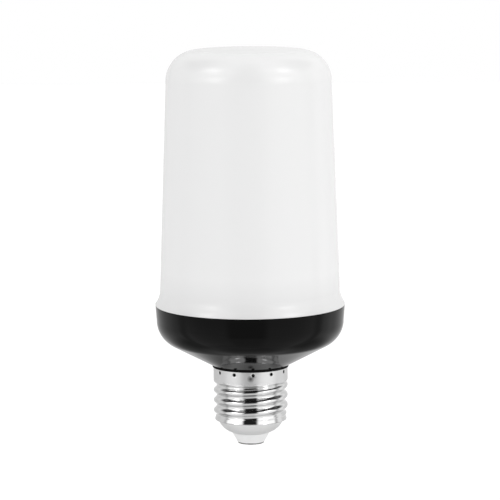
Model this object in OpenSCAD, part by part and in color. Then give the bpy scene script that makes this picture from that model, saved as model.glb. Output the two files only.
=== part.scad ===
// Flame effect LED bulb with a screw cap.
// The origin is the centre of the lower face of the centre contact, and +Z runs up the bulb's axis.
// The side that faces the viewer is -Y. All sizes are in millimetres and degrees.

/* [Centre contact and insulator] */
// Radius of the centre contact disc
contact_r = 4.7; // [4:0.1:5.2]
// Thickness of the centre contact disc
contact_t = 0.5; // [0.3:0.1:0.9]
// Height of the insulator from the contact disc to the hole of the screw shell
insulator_h = 3.55; // [3:0.05:4.5]
// How far the insulator stands out past the contact disc at its lower end
insulator_margin = 0.15; // [0.1:0.05:0.4]
// Height of the insulator's inner flange above the hole of the screw shell
insulator_flange_h = 2.5; // [2.2:0.1:3.2]
// Width of the insulator's inner flange past the hole of the screw shell
insulator_flange_w = 1.6; // [1:0.1:2.2]
// Radius of the contact's riveted shank
rivet_r = 1.2; // [1:0.1:1.6]

/* [Screw shell] */
// Thickness of the rolled sheet
shell_wall = 0.3; // [0.2:0.05:0.4]
// Radius of the hole that the insulator fills
shell_hole_r = 6.75; // [6.2:0.05:7.2]
// Radius at the wide end of the domed end
dome_r = 11.6; // [11.2:0.1:11.8]
// Height of the domed end
dome_h = 4.55; // [4:0.05:5.2]
// How far the domed end bulges past a straight cone
dome_bulge = 0.84; // [0.5:0.02:1]
// Radius of the plain band under the thread
band_r = 12.6; // [12.3:0.05:12.8]
// Height of the plain band under the thread
band_h = 1.3; // [1:0.1:1.8]
// Height of the thread, without the band and the collar
thread_h = 13.1; // [11:0.1:15]
// Pitch of the round thread
thread_pitch = 3.629; // [3.4:0.001:3.8]
// Radius over the crests of the thread
thread_crest_r = 13.15; // [13.02:0.01:13.2]
// Radius in the roots of the thread
thread_root_r = 12.05; // [11.98:0.01:12.13]
// Height over which the thread runs out at either end
thread_run_out = 1.3; // [0.8:0.1:2]
// Height of a crest on the +X side above the top of the band
thread_phase = 7.5; // [6:0.05:9]
// Radius of the plain collar
collar_r = 13.15; // [13.1:0.01:13.3]
// Height of the plain collar
collar_h = 4.6; // [4:0.1:5.6]
// Number of staking punches round the collar
punches = 12; // [8:2:14]
// Angle of the first punch from the viewer's side
punch_turn = 2.6; // [0:0.1:10]
// Depth of a staking punch
punch_depth = 0.35; // [0.2:0.05:0.4]
// Width of a staking punch
punch_w = 1.3; // [0.7:0.05:1.4]
// Distance of the punches below the rim of the collar
punch_drop = 1.25; // [1:0.05:1.6]

/* [Housing] */
// Radius of the black housing at the seam
housing_r = 33.5; // [31:0.5:36]
// Radius lost by the side of the housing between the seam and its rounded corner
housing_draft = 0.4; // [0.1:0.05:0.8]
// Height of the straight side below the seam
housing_side_h = 5.45; // [5:0.05:8]
// Radius of the rounded corner
housing_corner_r = 9.5; // [7:0.5:11]
// Slope of the conical underside, from the horizontal
cone_angle = 27.9; // [22:0.1:30]
// Wall thickness of the housing
housing_wall = 2; // [1.8:0.1:2.4]
// Width of the lip over the collar of the screw shell
lip_w = 0.35; // [0.2:0.05:0.8]
// Height of the lip over the collar of the screw shell
lip_h = 0.72; // [0.5:0.02:1.2]
// Length of the neck inside the screw shell
neck_len = 13.6; // [11:0.1:15]
// Radius of the bore through the neck
neck_bore_r = 9.9; // [9.4:0.1:10.2]
// Height of the inner collar above the lip
chimney_h = 8.7; // [6:0.1:10]
// Wall of the inner collar
chimney_wall = 2; // [1.6:0.1:2.4]

/* [Diffuser cover] */
// Wall thickness of the diffuser
cover_wall = 1.5; // [1.2:0.1:1.9]
// Height of the diffuser above the seam
cover_h = 89.9; // [75:0.1:105]
// Slope of the side, from the vertical
cover_draft = 2.08; // [1:0.02:3]
// Radius of the rounded shoulder at the top
shoulder_r = 10.8; // [8:0.1:14]
// How far the lower edge flares out past the waist
flare_out = 1.75; // [1:0.05:2.5]
// Radius of the flare in section
flare_r = 8.9; // [6:0.1:12]
// Height of the plain edge above the seam
edge_h = 0.35; // [0.2:0.05:0.6]
// Length of the skirt that plugs into the housing
skirt_h = 4.6; // [4.5:0.1:5.2]
// Height of the snap bead on the skirt
bead_h = 0.45; // [0.3:0.05:0.6]
// Distance of the snap bead below the seam
bead_drop = 3.2; // [2.8:0.1:3.4]

/* [LED core] */
// Clearance between the core's foot flange and the diffuser's skirt
foot_gap = 2.35; // [1.5:0.05:4]
// Wall thickness of the core tube
core_wall = 1.6; // [1.2:0.1:2]
// Thickness of the foot flange
foot_t = 2; // [1.6:0.1:2.6]
// Thickness of the top plate
plate_t = 2; // [1.6:0.1:2.6]
// Radius of the wire hole in the top plate
wire_hole_r = 4; // [3.4:0.1:6]
// Free height between the core and the inside of the diffuser's top
head_room = 10.5; // [8:0.5:16]
// Number of core screws
core_screws_n = 3; // [2:1:5]
// Radius of a screw's head
screw_head_r = 2.7; // [2.3:0.1:3]
// Clearance between the screws' heads and the lowest LED packages
head_gap = 0.3; // [0.2:0.05:0.6]
// Height of a screw's head
screw_head_h = 1.8; // [1.4:0.1:2.2]
// Radius of a screw's shank
screw_r = 1.25; // [1:0.05:1.5]
// Length of a screw's shank below the foot flange
screw_bite = 5.5; // [4:0.1:7]
// Wall of a screw boss round its pilot hole
boss_wall = 1.6; // [1.2:0.1:2]

/* [LED boards] */
// Thickness of the flexible board that wraps the core
wrap_t = 0.3; // [0.2:0.05:0.5]
// Width of the slit where the ends of the wrapped board meet, in degrees
wrap_slit = 5; // [2:0.5:10]
// Number of LED columns round the core
led_columns = 9; // [6:1:10]
// Number of LEDs in a column
led_rows = 11; // [6:1:14]
// Width of an LED package
led_w = 2.8; // [2.4:0.1:3.2]
// Length of an LED package
led_l = 3.5; // [3:0.1:4]
// Thickness of an LED package
led_t = 0.8; // [0.6:0.05:1]
// Thickness of the rigid board on top of the core
top_board_t = 1.2; // [0.8:0.1:1.6]
// How far the top board's edge stays inside the core's edge
top_board_inset = 1; // [0.6:0.1:2]
// Number of LEDs on the top board
top_leds_n = 6; // [3:1:8]
// How far the ring of LEDs stays inside the top board's edge
top_ring_inset = 7; // [4:0.1:8]

/* [Driver board] */
// Thickness of the driver board
driver_t = 1.2; // [0.8:0.1:1.6]
// Free height of the driver board above its tallest part
driver_margin = 3.2; // [2:0.1:6]
// How deep the edges of the driver board sit in the neck's grooves
driver_grip = 0.6; // [0.4:0.05:0.7]
// Height of the grooves' floor above the lower end of the neck
groove_floor = 2; // [1.5:0.1:3]
// Distance of the board's front face behind the bulb's axis
driver_y = 0.4; // [0.4:0.05:0.6]
// Radius of the large capacitor
bulk_r = 4; // [3.4:0.1:4.2]
// Length of the large capacitor
bulk_h = 12; // [10:0.1:12.4]
// Radius of the small capacitor
output_r = 3.15; // [2.5:0.05:3.4]
// Length of the small capacitor
output_h = 9; // [7:0.1:9.6]
// Radius of the choke
choke_r = 3.5; // [2.8:0.1:3.8]
// Length of the choke
choke_h = 8; // [6:0.1:8.6]
// Radius of the fusible resistor's body
resistor_r = 1.75; // [1.4:0.05:2]
// Length of the fusible resistor's body
resistor_h = 6.5; // [5:0.1:7]
// Wall of the sleeve over the fusible resistor
sleeve_wall = 0.3; // [0.2:0.05:0.5]

/* [Wires] */
// Radius of the bared neutral wire
neutral_r = 0.45; // [0.35:0.05:0.5]
// Radius of an insulated supply wire
supply_r = 0.7; // [0.5:0.05:0.8]
// Radius of a link wire between the two LED boards
link_r = 0.45; // [0.35:0.05:0.55]
// Radius of a component's lead
lead_r = 0.3; // [0.25:0.05:0.35]

/* [Fits] */
// Clearance between pieces that are pressed or snapped together
fit = 0.05; // [0.04:0.01:0.08]
// Clearance of the diffuser's skirt in the housing
skirt_fit = 0.15; // [0.1:0.05:0.2]
// Solder or glue under a component
seat_gap = 0.1; // [0.05:0.05:0.15]

/* [Hidden] */
led_column_nodes = [for (k = [1:led_columns]) str("led_column_", k)];
$fn = 64;

// Heights of the cap, from the contact upwards
hole_z = contact_t + insulator_h;
edge_z = hole_z + dome_h;
band_top_z = edge_z + band_h;
collar_z = band_top_z + thread_h;
rim_z = collar_z + collar_h;
punch_z = rim_z - punch_drop;
punch_start = -90 + punch_turn;
punch_pitch = 360 / punches;

// Housing
lip_r = collar_r + lip_w;
lip_z = rim_z + lip_h;
side_r = housing_r - housing_draft;
corner_c = [side_r - housing_corner_r,
            lip_z + (side_r - housing_corner_r - lip_r) * tan(cone_angle)
            + housing_corner_r / cos(cone_angle)];
seam_z = corner_c[1] + housing_side_h;
seat_r = side_r - housing_wall;
neck_top_r = collar_r - shell_wall - fit;
neck_low_r = thread_root_r - shell_wall - 5 * fit;
neck_z = rim_z - neck_len;
neck_step = 0.6;
neck_step_z = collar_z + neck_step;
chimney_r = neck_bore_r + chimney_wall;
chimney_z = lip_z + chimney_h;
bead_z = seam_z - bead_drop;
bead_slope = 0.3;

// Diffuser
skirt_r = seat_r - skirt_fit;
skirt_in_r = skirt_r - cover_wall;
skirt_step = 1;
waist_r = housing_r - flare_out;
flare_angle = acos(1 - flare_out / flare_r);
waist_z = seam_z + edge_h + flare_r * sin(flare_angle);
cover_z = seam_z + cover_h;
shoulder_z = cover_z - shoulder_r;
shoulder_c = [
    waist_r - (shoulder_z - waist_z) * tan(cover_draft) - shoulder_r / cos(cover_draft),
    shoulder_z];

// LED core
function cone_z(r) = lip_z + (r - lip_r) * tan(cone_angle);
pilot_r = screw_r + fit;
boss_r = pilot_r + boss_wall;
foot_r = skirt_in_r - foot_gap;
boss_ring_r = foot_r - boss_r;
led_seat_r = boss_ring_r - screw_head_r - head_gap - led_t;
wrap_r = led_seat_r - fit;
wrap_in_r = wrap_r - wrap_t;
core_r = wrap_in_r - fit;
screw_tip_gap = 0.3;
pilot_z = cone_z(boss_ring_r + pilot_r) + housing_wall / 2;
foot_z = pilot_z + screw_tip_gap + screw_bite;
foot_top_z = foot_z + foot_t;
core_top_z = cover_z - cover_wall - head_room;
wrap_top_z = core_top_z - 2;
led_pitch = (wrap_top_z - foot_top_z) / led_rows;
top_board_r = core_r - top_board_inset;
top_board_z = core_top_z + top_board_t;
top_ring_r = top_board_r - top_ring_inset;

// Driver board
groove_z = neck_z + groove_floor;
driver_back_y = driver_y + driver_t;
driver_w = neck_bore_r + driver_grip;
lead_drop = 1.3;
lead_pitch = 2.5;
lead_tail = 1;
low_parts = 5.5;
bulk_z = groove_z + low_parts;
upper_z = bulk_z + bulk_h + lead_drop + lead_tail;
driver_z = upper_z + max(output_h, choke_h) + driver_margin;
bulk_x = -3.7;
output_x = -4.4;
choke_x = 4.2;
film_x = 4.4;
film_w = 7;
film_d = 4;
film_h = 9;
resistor_z = groove_z - 1 - resistor_h;
wire_angle = punch_start + 4.5 * punch_pitch;
wire_cover = 0.3;
wire_slot_r = neck_low_r - wire_cover - neutral_r;

// Points along an arc, from angle a0 to a1
function arc(c, r, a0, a1, n) =
    [for (i = [0:n]) let (a = a0 + (a1 - a0) * i / n) c + r * [cos(a), sin(a)]];

// 0 up to a, 1 from b, and a smooth ramp between them
function ramp(x, a, b) = let (t = max(0, min(1, (x - a) / (b - a)))) t * t * (3 - 2 * t);

function polar(r, a, z) = [r * cos(a), r * sin(a), z];
function unit(v) = v / norm(v);

// A rounded path through hand-set points, with k points to a span
function spline(p, k) =
    let (n = len(p), last = n - 1)
    concat(
        [for (i = [0:last - 1], j = [0:k - 1])
            let (t = j / k,
                 a = p[max(0, i - 1)], b = p[i], c = p[i + 1], d = p[min(last, i + 2)])
            0.5 * (2 * b + t * (c - a)
                + t * t * (2 * a - 5 * b + 4 * c - d)
                + t * t * t * (3 * b - a - 3 * c + d))],
        [p[last]]);

// A round wire along a path; side is a direction that the path never runs along
module wire(path, r, side, sides = 8) {
    last = len(path) - 1;
    rings = [for (i = [0:last])
        let (t = unit(path[min(last, i + 1)] - path[max(0, i - 1)]),
             u = unit(cross(side, t)),
             v = cross(t, u))
        for (j = [0:sides - 1])
            path[i] + r * (cos(360 * j / sides) * u + sin(360 * j / sides) * v)];
    walls = [for (i = [0:last - 1], j = [0:sides - 1])
        let (a = i * sides + j, b = i * sides + (j + 1) % sides)
        each [[a, b + sides, b], [a, a + sides, b + sides]]];
    start = [for (j = [0:sides - 1]) j];
    end = [for (j = [sides - 1:-1:0]) last * sides + j];
    polyhedron(rings, concat(walls, [start, end]), convexity = 4);
}

// Screw shell: one rolled sheet with a right-hand round thread, a domed end and a punched collar

// The thread's crest and root arcs share this radius, at which they meet without a corner
thread_depth = thread_crest_r - thread_root_r;
thread_arc_r = (thread_pitch * thread_pitch / 4 + thread_depth * thread_depth) / (4 * thread_depth);

// Radius of the thread at a height h above a crest
function thread_r(h) =
    let (q = thread_pitch / 4, d = abs(h - thread_pitch * round(h / thread_pitch)))
    d < q ? thread_crest_r - thread_arc_r + sqrt(thread_arc_r * thread_arc_r - d * d)
          : thread_root_r + thread_arc_r - sqrt(thread_arc_r * thread_arc_r - (2 * q - d) * (2 * q - d));

// Radius of the threaded zone at a height and an angle, with its run-outs
function wall_r(z, a) =
    let (r = thread_r(z - band_top_z - thread_phase - thread_pitch * a / 360),
         up = ramp(z, collar_z - thread_run_out, collar_z),
         down = ramp(-z, -band_top_z - thread_run_out, -band_top_z))
    (r * (1 - up) + collar_r * up) * (1 - down) + band_r * down;

// Arc of the domed end in section
dome_a = [dome_r, edge_z];
dome_b = [shell_hole_r, hole_z];
dome_chord = norm(dome_a - dome_b);
dome_arc_r = (dome_chord * dome_chord / 4 + dome_bulge * dome_bulge) / (2 * dome_bulge);
dome_out = [dome_a[1] - dome_b[1], dome_b[0] - dome_a[0]] / dome_chord;
dome_c = (dome_a + dome_b) / 2 - dome_out * (dome_arc_r - dome_bulge);
function dome_turn(p) = atan2(p[1] - dome_c[1], p[0] - dome_c[0]);
function dome(r) = arc(dome_c, r, dome_turn(dome_a), dome_turn(dome_b), 6);
// Height of the dome's inner face at a radius
function dome_in_z(r) = dome_c[1] - sqrt(pow(dome_arc_r - shell_wall, 2) - pow(r - dome_c[0], 2));

punch_half = asin(punch_w / 2 / collar_r);
// Each punch has five columns of points, and a pit one point deep in the middle one
shell_columns = 5 * punches;
function column_angle(j) =
    let (k = floor(j / 5), m = j % 5)
    punch_start + k * punch_pitch + (m == 0 ? 0 : punch_half + (m - 1) * (punch_pitch - 2 * punch_half) / 3);
thread_steps = round((collar_z - band_top_z) / thread_pitch * 8);
pit_rows = [punch_z + punch_w / 2, punch_z, punch_z - punch_w / 2];
// Rounding of the sharp edge between the band and the domed end
edge_round = 0.4;

// Outer section of the sheet at column j, from the rim down; inset moves it inwards
function shell_section(j, inset) =
    let (a = column_angle(j), pit = j % 5 == 0 ? punch_depth : 0)
    concat(
        [[collar_r - inset, rim_z]],
        [for (i = [0:2]) [collar_r - inset - (i == 1 ? pit : 0), pit_rows[i]]],
        [for (i = [0:thread_steps])
            let (z = collar_z + (band_top_z - collar_z) * i / thread_steps) [wall_r(z, a) - inset, z]],
        [[band_r - inset, edge_z + edge_round],
         [band_r - edge_round - inset, edge_z + (edge_round + inset) / 6]],
        dome(dome_arc_r - inset));

module screw_shell() {
    sections = [for (j = [0:shell_columns - 1])
        let (outer = shell_section(j, 0), inner = shell_section(j, shell_wall), last = len(outer) - 1)
        concat(outer, [for (i = [last:-1:0]) inner[i]])];
    rows = len(sections[0]);
    points = [for (j = [0:shell_columns - 1], p = sections[j]) polar(p[0], column_angle(j), p[1])];
    faces = [for (j = [0:shell_columns - 1], i = [0:rows - 1])
        let (k = (j + 1) % shell_columns, n = (i + 1) % rows,
             a = j * rows + i, b = k * rows + i, c = k * rows + n, d = j * rows + n)
        each [[a, b, c], [a, c, d]]];
    color("silver") polyhedron(points, faces, convexity = 8);
}

module cap_insulator() {
    neck_r = shell_hole_r - shell_wall / 2 - fit;
    flange_r = shell_hole_r + insulator_flange_w;
    color("white") rotate_extrude() polygon([
        [rivet_r + fit, contact_t],
        [contact_r + insulator_margin, contact_t],
        [shell_hole_r, hole_z - fit],
        [neck_r, hole_z - fit],
        [neck_r, dome_in_z(neck_r) + 2 * fit],
        [flange_r, dome_in_z(flange_r) + 2 * fit],
        [flange_r, hole_z + insulator_flange_h],
        [rivet_r + fit, hole_z + insulator_flange_h]]);
}

module centre_contact() {
    rivet_z = hole_z + insulator_flange_h;
    rim = 0.3;
    color("silver") difference() {
        rotate_extrude() polygon([
            [0, 0],
            [contact_r - rim, 0],
            [contact_r, contact_t / 2],
            [contact_r, contact_t],
            [rivet_r, contact_t],
            [rivet_r, rivet_z],
            [rivet_r + 2 * rim, rivet_z],
            [rivet_r + rim, rivet_z + 2 * rim],
            [0, rivet_z + 2 * rim]]);
        translate([0, 0, hole_z - 1.5]) cylinder(r = lead_r + fit, h = rivet_z);
    }
}

// Housing

module housing_outline() {
    turn = cone_angle - 90;
    inner_r = housing_corner_r - housing_wall;
    inner_end = corner_c + inner_r * [cos(turn), sin(turn)];
    polygon(concat(
        [[neck_bore_r, neck_z],
         [neck_low_r, neck_z],
         [neck_low_r, neck_step_z],
         [neck_top_r, neck_step_z + neck_top_r - neck_low_r],
         [neck_top_r, rim_z],
         [lip_r, rim_z],
         [lip_r, lip_z]],
        arc(corner_c, housing_corner_r, turn, 0, 12),
        [[housing_r, seam_z],
         [seat_r, seam_z],
         [seat_r, bead_z + 2 * bead_slope + skirt_fit],
         [seat_r + bead_h, bead_z + bead_slope + skirt_fit],
         [seat_r + bead_h, bead_z - bead_slope - skirt_fit],
         [seat_r, bead_z - 2 * bead_slope - skirt_fit]],
        arc(corner_c, inner_r, 0, turn, 12),
        [[chimney_r, inner_end[1] - (inner_end[0] - chimney_r) * tan(cone_angle)],
         [chimney_r, chimney_z],
         [neck_bore_r, chimney_z]]));
}

// The bowl as if it were solid, to trim the bosses to its outside
module bowl_outline() {
    skin = housing_wall / 2;
    turn = cone_angle - 90;
    polygon(concat(
        [[0, lip_z], [lip_r, lip_z + skin]],
        arc(corner_c, housing_corner_r - skin, turn, 0, 12),
        [[side_r - skin, seam_z], [0, seam_z]]));
}

module at_screws() {
    for (k = [0:core_screws_n - 1])
        rotate(30 + 360 * k / core_screws_n) translate([boss_ring_r, 0, 0]) children();
}

module housing() {
    color([0.07, 0.07, 0.07]) difference() {
        union() {
            rotate_extrude() housing_outline();
            intersection() {
                rotate_extrude() bowl_outline();
                at_screws() translate([0, 0, lip_z]) cylinder(r = boss_r, h = foot_z - lip_z);
            }
        }
        at_screws() translate([0, 0, pilot_z]) cylinder(r = pilot_r, h = foot_z);
        translate([-driver_w - fit, driver_y - fit, groove_z])
            cube([2 * (driver_w + fit), driver_t + 2 * fit, chimney_z]);
        for (k = [0:punches - 1])
            rotate(punch_start + k * punch_pitch)
                translate([neck_top_r - punch_depth - fit, 0, punch_z])
                    rotate([0, 90, 0]) cylinder(d = 1.45 * punch_w + 2 * fit, h = 0.6);
        rotate(wire_angle) translate([wire_slot_r - neutral_r - 4 * fit, -neutral_r - 2 * fit, neck_z - 1])
            cube([lip_r, 2 * neutral_r + 4 * fit, neck_len + 1 - lip_h]);
    }
}

// Diffuser: a milky shell whose skirt snaps into the housing

module diffuser_cover() {
    inner_waist_r = waist_r - cover_wall;
    color([0.95, 0.95, 0.94]) rotate_extrude() polygon(concat(
        [[skirt_in_r, seam_z - skirt_h],
         [skirt_r, seam_z - skirt_h],
         [skirt_r, bead_z - 2 * bead_slope],
         [skirt_r + bead_h, bead_z - bead_slope],
         [skirt_r + bead_h, bead_z + bead_slope],
         [skirt_r, bead_z + 2 * bead_slope],
         [skirt_r, seam_z],
         [housing_r, seam_z]],
        arc([waist_r + flare_r, waist_z], flare_r, 180 + flare_angle, 180, 8),
        arc(shoulder_c, shoulder_r, cover_draft, 90, 14),
        [[0, cover_z], [0, cover_z - cover_wall]],
        arc(shoulder_c, shoulder_r - cover_wall, 90, cover_draft, 14),
        [[inner_waist_r, waist_z],
         [inner_waist_r, seam_z + cover_wall + skirt_step],
         [skirt_in_r, seam_z + skirt_step]]));
}

// LED core: the white former tube with its foot flange and top plate

module led_core() {
    core_in_r = core_r - core_wall;
    color([0.93, 0.93, 0.9]) difference() {
        rotate_extrude() polygon([
            [core_in_r, foot_z],
            [foot_r, foot_z],
            [foot_r, foot_top_z],
            [core_r, foot_top_z],
            [core_r, core_top_z],
            [wire_hole_r, core_top_z],
            [wire_hole_r, core_top_z - plate_t],
            [core_in_r, core_top_z - plate_t]]);
        at_screws() translate([0, 0, foot_z - 1]) cylinder(r = screw_r + 2 * fit, h = foot_t + 2);
    }
}

module core_screws() {
    color("dimgray") at_screws() difference() {
        translate([0, 0, pilot_z + screw_tip_gap]) rotate_extrude() polygon([
            [0, 0],
            [screw_r - 0.4, 0],
            [screw_r, 0.8],
            [screw_r, screw_bite + foot_t],
            [screw_head_r, screw_bite + foot_t],
            [screw_head_r, screw_bite + foot_t + screw_head_h * 0.6],
            [screw_head_r * 0.6, screw_bite + foot_t + screw_head_h],
            [0, screw_bite + foot_t + screw_head_h]]);
        for (turn = [0, 90])
            translate([0, 0, foot_top_z + screw_head_h]) rotate(turn) cube([2.4, 0.6, 1.6], center = true);
    }
}

// LED boards

module wrap_board() {
    color("seashell") rotate(90 + wrap_slit / 2) rotate_extrude(angle = 360 - wrap_slit)
        translate([wrap_in_r, foot_top_z]) square([wrap_t, wrap_top_z - foot_top_z]);
}

// An LED package that lies on its back: length along Y, light out along Z
module led() {
    difference() {
        translate([-led_w / 2, -led_l / 2, 0]) cube([led_w, led_l, led_t]);
        translate([0, 0, led_t - 0.15]) cylinder(r = led_w * 0.4, h = 1);
    }
}

module led_column(k) {
    turn = 90 + 360 / led_columns * (k - 0.5);
    color("khaki") for (row = [0:led_rows - 1])
        rotate(turn) translate([led_seat_r, 0, foot_top_z + led_pitch * (row + 0.5)])
            rotate([90, 0, 90]) led();
}

module top_board() {
    color("seashell") translate([0, 0, core_top_z]) cylinder(r = top_board_r, h = top_board_t);
}

module top_leds() {
    color("khaki") for (k = [0:top_leds_n - 1])
        rotate(360 * k / top_leds_n) translate([top_ring_r, 0, top_board_z + fit]) led();
}

// Three short wires over the core's edge, from the top board to the wrapped board
module link_wires() {
    turn = 90 + 360 / led_columns;
    low_r = wrap_r + link_r + seat_gap;
    high_z = top_board_z + link_r + seat_gap;
    color("gold") for (k = [-1:1])
        rotate(turn + 4 * k) wire(spline([
            [top_board_r - 4 * link_r, 0, high_z],
            [top_board_r, 0, high_z + 0.5 * link_r],
            [core_r + 2 * link_r, 0, core_top_z + 1.5 * link_r],
            [low_r + link_r, 0, core_top_z - 3.5 * link_r],
            [low_r, 0, wrap_top_z - 4.5 * link_r],
            [low_r, 0, wrap_top_z - 9 * link_r]], 3), link_r, [0, 1, 0]);
}

// Chips

// A small-outline chip with its feet at z = 0, lying along Y, with pins legs on either side
module small_outline(pins) {
    body_w = 3.9;
    body_t = 1.4;
    leg_w = 0.42;
    leg_out = 1.05;
    body_l = pins * 1.27 - 0.2;
    translate([-body_w / 2, -body_l / 2, 0.1]) cube([body_w, body_l, body_t]);
    for (side = [0, 1], k = [0:pins - 1])
        mirror([side, 0, 0]) translate([body_w / 2 - 0.2, (k - (pins - 1) / 2) * 1.27 - leg_w / 2, 0]) {
            translate([0, 0, 0.6]) cube([0.7, leg_w, 0.2]);
            translate([0.5, 0, 0]) cube([0.2, leg_w, 0.8]);
            translate([0.5, 0, 0]) cube([leg_out - 0.5 + 0.2, leg_w, 0.2]);
        }
}

// The controller sits low on the wrapped board, between two columns of LEDs
module controller_chip() {
    turn = 90 + 360 / led_columns * 2;
    color([0.15, 0.15, 0.16]) rotate(turn)
        translate([led_seat_r, 0, foot_top_z + 2 * led_pitch]) rotate([90, 0, 90]) small_outline(8);
}

// Places a part on the back of the driver board, with its own Z pointing away from the board
module on_back(x, z) {
    translate([x, driver_back_y, z]) rotate([-90, 0, 0]) children();
}

module bridge_rectifier() {
    color([0.12, 0.12, 0.13]) on_back(-3.5, groove_z + 9) small_outline(2);
}

module driver_chip() {
    color([0.15, 0.15, 0.16]) on_back(2.5, upper_z + 4) small_outline(4);
}

module chip_resistors() {
    color([0.2, 0.2, 0.22]) for (k = [0:3])
        on_back(k % 2 == 0 ? 4.4 : 7.6, groove_z + 6 + 2.2 * k)
            translate([-1, -0.65, 0]) cube([2, 1.3, 0.55]);
}

// Driver board and its leaded parts

// Where the leads of the leaded parts go through the board: x of the part and height of its holes
lead_places = [
    [bulk_x, bulk_z - lead_drop],
    [output_x, upper_z - lead_drop],
    [choke_x, upper_z - lead_drop],
    [film_x, bulk_z - lead_drop]];

module driver_board() {
    color("darkgreen") difference() {
        translate([-driver_w, driver_y, groove_z]) cube([2 * driver_w, driver_t, driver_z - groove_z]);
        for (p = lead_places, s = [-1, 1])
            translate([p[0] + s * lead_pitch / 2, driver_y - 1, p[1]])
                rotate([-90, 0, 0]) cylinder(r = lead_r + fit, h = driver_t + 2);
    }
}

// Two leads that leave a part downwards and turn through the board
module leads(reach) {
    for (s = [-1, 1]) translate([s * lead_pitch / 2, 0, 0]) {
        translate([0, 0, -lead_drop]) cylinder(r = lead_r, h = lead_drop + 0.2);
        translate([0, 0, -lead_drop]) sphere(r = lead_r);
        translate([0, 0, -lead_drop]) rotate([-90, 0, 0]) cylinder(r = lead_r, h = reach);
    }
}

// A round part that stands on the front of the board, r from the board's face to its axis
module upright(x, r, z) {
    y = driver_y - r - seat_gap;
    translate([x, y, z]) {
        children();
        leads(driver_back_y + lead_tail - y);
    }
}

// An aluminium can with its rolled bead near the foot
module can(r, h) {
    rotate_extrude() polygon([
        [0, 0], [r - 0.3, 0], [r, 0.4], [r, 1.5], [r - 0.4, 2],
        [r, 2.5], [r, h - 0.4], [r - 0.4, h], [0, h]]);
}

module bulk_capacitor() {
    color("midnightblue") upright(bulk_x, bulk_r, bulk_z) can(bulk_r, bulk_h);
}

module output_capacitor() {
    color("midnightblue") upright(output_x, output_r, upper_z) can(output_r, output_h);
}

module choke() {
    flange = 1.1;
    waist = choke_r - 0.7;
    color("saddlebrown") upright(choke_x, choke_r, upper_z) rotate_extrude() polygon([
        [0, 0], [choke_r, 0], [choke_r, flange], [waist, flange],
        [waist, choke_h - flange], [choke_r, choke_h - flange], [choke_r, choke_h], [0, choke_h]]);
}

module film_capacitor() {
    corner = 0.6;
    color("goldenrod") upright(film_x, film_d / 2, bulk_z) linear_extrude(film_h) polygon([
        [-film_w / 2 + corner, -film_d / 2], [film_w / 2 - corner, -film_d / 2],
        [film_w / 2, -film_d / 2 + corner], [film_w / 2, film_d / 2 - corner],
        [film_w / 2 - corner, film_d / 2], [-film_w / 2 + corner, film_d / 2],
        [-film_w / 2, film_d / 2 - corner], [-film_w / 2, -film_d / 2 + corner]]);
}

// The fusible resistor hangs between the contact's rivet and the driver board
module fusible_resistor() {
    low_z = hole_z - 1.4;
    color("tan") {
        translate([0, 0, resistor_z]) rotate_extrude() polygon([
            [0, 0], [resistor_r - 0.3, 0], [resistor_r, 0.3], [resistor_r, 1.4], [resistor_r - 0.2, 1.7],
            [resistor_r - 0.2, resistor_h - 1.7], [resistor_r, resistor_h - 1.4],
            [resistor_r, resistor_h - 0.3], [resistor_r - 0.3, resistor_h], [0, resistor_h]]);
        translate([0, 0, low_z]) cylinder(r = lead_r, h = groove_z + 3 - low_z);
    }
}

module resistor_sleeve() {
    color("black") translate([0, 0, resistor_z - 0.5]) difference() {
        cylinder(r = resistor_r + fit + sleeve_wall, h = resistor_h + 1);
        translate([0, 0, -1]) cylinder(r = resistor_r + fit, h = resistor_h + 3);
    }
}

// Wires

// The neutral wire runs from the board round the neck's end and lies bare against the collar
module neutral_wire() {
    out_r = neck_top_r - neutral_r - 2 * fit;
    board_y = driver_back_y + neutral_r + seat_gap;
    under_z = neck_z - 1.5;
    color("ivory") wire(spline([
        [0.26 * neck_bore_r, board_y, groove_z + 3],
        [0.27 * neck_bore_r, board_y, groove_z + 1],
        polar(0.465 * neck_bore_r, wire_angle, neck_z - 0.2),
        polar(0.71 * neck_bore_r, wire_angle, under_z),
        polar(0.97 * neck_bore_r, wire_angle, under_z),
        polar(wire_slot_r, wire_angle, neck_z + 0.4),
        polar(wire_slot_r, wire_angle, neck_z + 3),
        polar(wire_slot_r, wire_angle, neck_step_z - 2),
        polar(out_r, wire_angle, neck_step_z + 1.2),
        polar(out_r, wire_angle, rim_z - 1.4)], 4), neutral_r, polar(1, wire_angle + 90, 0));
}

// The two supply wires climb through the core to the underside of the top board
module supply_wires() {
    y = driver_y - supply_r - seat_gap;
    low_x = 0.75 * wire_hole_r;
    top_x = 0.45 * wire_hole_r;
    slack = 1.5 * supply_r;
    climb = core_top_z - driver_z;
    color("firebrick") for (s = [-1, 1])
        wire(spline([
            [s * low_x, y, driver_z - driver_margin + 2 * seat_gap],
            [s * low_x, y, driver_z + supply_r],
            [s * (low_x + slack / 2), y + slack, driver_z + 0.18 * climb],
            [s * low_x, y + 2 * slack, driver_z + 0.5 * climb],
            [s * (low_x + top_x) / 2, y + slack, driver_z + 0.82 * climb],
            [s * top_x, 0, core_top_z - 2 * plate_t],
            [s * top_x, 0, core_top_z - seat_gap]], 4), supply_r, [0, 1, 0]);
}

diffuser_cover();
housing();
screw_shell();
cap_insulator();
centre_contact();
led_core();
core_screws();
wrap_board();
for (k = [1:led_columns]) led_column(k);
top_board();
top_leds();
link_wires();
controller_chip();
driver_board();
bridge_rectifier();
driver_chip();
bulk_capacitor();
output_capacitor();
choke();
film_capacitor();
chip_resistors();
fusible_resistor();
resistor_sleeve();
neutral_wire();
supply_wires();
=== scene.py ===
"""Flame effect LED bulb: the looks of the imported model, laid out as an add-on and run as a script."""

import math

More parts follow.
